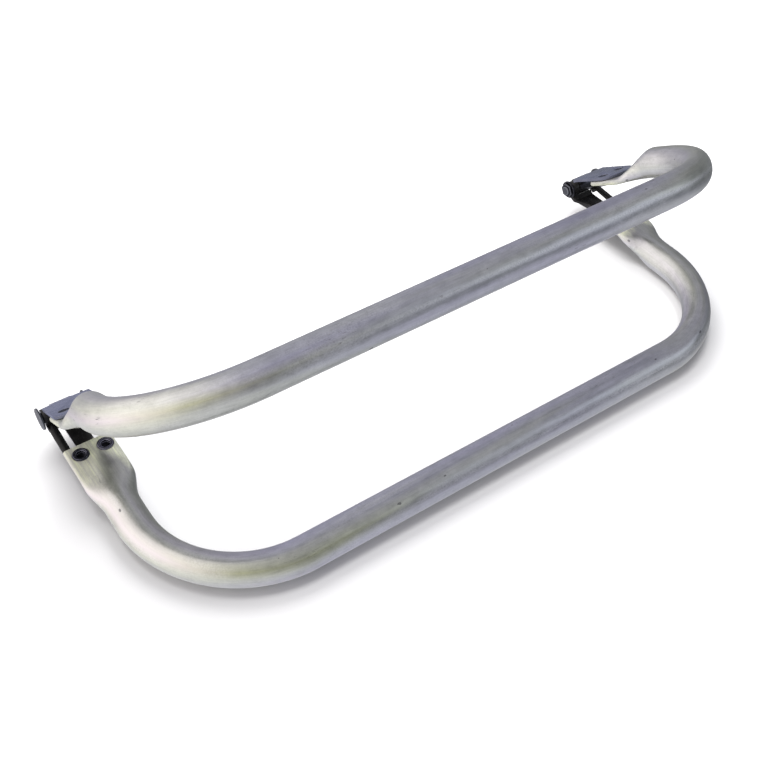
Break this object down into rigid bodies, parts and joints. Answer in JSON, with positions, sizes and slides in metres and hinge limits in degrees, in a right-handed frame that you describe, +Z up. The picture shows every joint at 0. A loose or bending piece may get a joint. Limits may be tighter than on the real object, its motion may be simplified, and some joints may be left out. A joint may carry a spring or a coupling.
{
  "type": "door security bar",
  "caption": "Two U-shaped bent tube bars, bolted at their flattened ends to steel leaf hinges, that fold open and shut about one common pin axis.",
  "frame": {"origin": "middle of the bottom of the part's box: the floor under the lower bar, midway between its two arms", "axes": "+X along the hinge axis towards the right-hand hinge, +Y from the long tubes towards the hinges, +Z up, square to the lower bar's plane"},
  "size_m": [0.5396, 0.2182, 0.1587],
  "materials": {
    "zinc_plate": "bright zinc plate with a faint coloured sheen, scuffed",
    "black_steel": "semi-gloss black coating over steel, worn at the edges",
    "pin_steel": "satin grey steel",
    "screw_steel": "blackened steel, semi-gloss"
  },
  "bodies": {
    "lower_half": {"lower_bar": "zinc_plate", "left_lower_leaf": "black_steel", "left_hinge_pin": "pin_steel", "left_pin_washer": "pin_steel", "left_pin_nut": "black_steel", "left_lower_outer_screw": "screw_steel", "left_lower_inner_screw": "screw_steel", "right_lower_leaf": "black_steel", "right_hinge_pin": "pin_steel", "right_pin_washer": "pin_steel", "right_pin_nut": "black_steel", "right_lower_outer_screw": "screw_steel", "right_lower_inner_screw": "screw_steel"},
    "upper_half": {"upper_bar": "zinc_plate", "left_upper_leaf": "black_steel", "left_upper_outer_screw": "screw_steel", "left_upper_inner_screw": "screw_steel", "right_upper_leaf": "black_steel", "right_upper_outer_screw": "screw_steel", "right_upper_inner_screw": "screw_steel"}
  },
  "joints": [
    {"name": "bar_fold", "type": "hinge", "parent": "lower_half", "child": "upper_half", "pos_m": [0, 0.1006, 0.0279], "axis": [-1, 0, 0], "range_deg": [-32, 147]}
  ]
}
